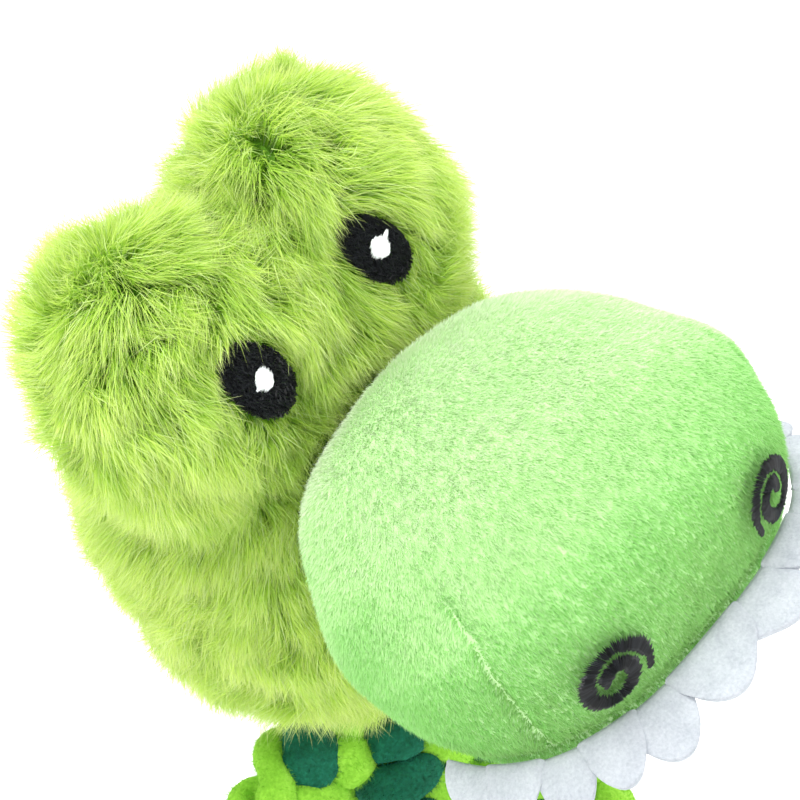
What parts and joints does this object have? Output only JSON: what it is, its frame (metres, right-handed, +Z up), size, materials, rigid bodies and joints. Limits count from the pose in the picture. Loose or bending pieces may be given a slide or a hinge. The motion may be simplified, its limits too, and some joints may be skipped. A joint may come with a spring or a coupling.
{
  "type": "stuffed dinosaur toy",
  "caption": "Plush dinosaur tug toy: long-pile head with eye bumps, smooth muzzle, felt teeth, and a body, arms, legs and tail of braided fleece.",
  "frame": {"origin": "middle of the flat underside of the seat knot, on the floor", "axes": "+Z up, -Y is the toy's front, +X is the toy's own left"},
  "size_m": [0.2321, 0.3011, 0.3133],
  "materials": {
    "long_pile_fur": "long dense lime pile, matte, tufted",
    "minky_plush": "short smooth plush pile, soft sheen",
    "fibre_fill": "loose white polyester fibre",
    "squeaker_plastic": "blow-moulded soft plastic",
    "white_felt": "pressed white felt",
    "black_thread": "satin-stitched polyester thread, light sheen",
    "white_thread": "satin-stitched polyester thread, light sheen",
    "fleece_lime": "brushed fleece, matte",
    "fleece_dark": "brushed fleece, matte"
  },
  "bodies": {
    "body": {"seat_knot": "fleece_dark", "body_core": "fleece_lime", "body_strip_dark_1": "fleece_dark", "body_strip_dark_2": "fleece_dark", "body_strip_lime_1": "fleece_lime", "body_strip_lime_2": "fleece_lime"},
    "neck_column": {"neck_strips": "fleece_lime"},
    "neck_ball": {"neck_knot": "fleece_dark"},
    "head": {"head_fur_face": "long_pile_fur", "head_fur_side_left": "long_pile_fur", "head_fur_side_right": "long_pile_fur", "head_fur_chin": "long_pile_fur", "head_stuffing": "fibre_fill", "squeaker_shell": "squeaker_plastic", "squeaker_reed": "squeaker_plastic", "muzzle_top_panel": "minky_plush", "muzzle_under_panel": "minky_plush", "muzzle_stuffing": "fibre_fill", "teeth_strip": "white_felt", "eye_left": "black_thread", "eye_right": "black_thread", "eye_glint_left": "white_thread", "eye_glint_right": "white_thread", "nostril_left": "black_thread", "nostril_right": "black_thread"},
    "arm_left": {"arm_left_strip_1": "fleece_lime", "arm_left_strip_2": "fleece_dark", "arm_left_strip_3": "fleece_lime", "arm_left_knot": "fleece_lime", "arm_left_strip_ends": "fleece_dark"},
    "arm_right": {"arm_right_strip_1": "fleece_lime", "arm_right_strip_2": "fleece_dark", "arm_right_strip_3": "fleece_lime", "arm_right_knot": "fleece_lime", "arm_right_strip_ends": "fleece_dark"},
    "leg_left": {"leg_left_strip_1": "fleece_dark", "leg_left_strip_2": "fleece_lime", "leg_left_strip_3": "fleece_dark", "leg_left_knot": "fleece_dark", "leg_left_strip_ends": "fleece_lime"},
    "leg_right": {"leg_right_strip_1": "fleece_dark", "leg_right_strip_2": "fleece_lime", "leg_right_strip_3": "fleece_dark", "leg_right_knot": "fleece_dark", "leg_right_strip_ends": "fleece_lime"},
    "tail": {"tail_strip_1": "fleece_lime", "tail_strip_2": "fleece_dark", "tail_strip_3": "fleece_lime", "tail_knot": "fleece_lime", "tail_strip_ends": "fleece_dark"}
  },
  "joints": [
    {"name": "head_turn", "type": "hinge", "parent": "body", "child": "neck_column", "pos_m": [0, 0, 0.162], "axis": [0, 0, 1], "range_deg": [-20, 20]},
    {"name": "head_nod", "type": "hinge", "parent": "neck_column", "child": "neck_ball", "pos_m": [0, 0, 0.162], "axis": [1, 0, 0], "range_deg": [-5, 12]},
    {"name": "head_tilt", "type": "hinge", "parent": "neck_ball", "child": "head", "pos_m": [0, 0, 0.162], "axis": [0, 1, 0], "range_deg": [-5, 38]},
    {"name": "arm_left_raise", "type": "hinge", "parent": "body", "child": "arm_left", "pos_m": [0.031, 0, 0.123], "axis": [0, -1, 0], "range_deg": [-12, 20]},
    {"name": "arm_right_raise", "type": "hinge", "parent": "body", "child": "arm_right", "pos_m": [-0.031, 0, 0.123], "axis": [0, 1, 0], "range_deg": [-12, 20]},
    {"name": "leg_left_splay", "type": "hinge", "parent": "body", "child": "leg_left", "pos_m": [0.021, -0.018, 0.013], "axis": [0, 0, 1], "range_deg": [-15, 25]},
    {"name": "leg_right_splay", "type": "hinge", "parent": "body", "child": "leg_right", "pos_m": [-0.021, -0.018, 0.013], "axis": [0, 0, -1], "range_deg": [-15, 25]},
    {"name": "tail_wag", "type": "hinge", "parent": "body", "child": "tail", "pos_m": [0, 0.026, 0.013], "axis": [0, 0, 1], "range_deg": [-25, 25]}
  ]
}
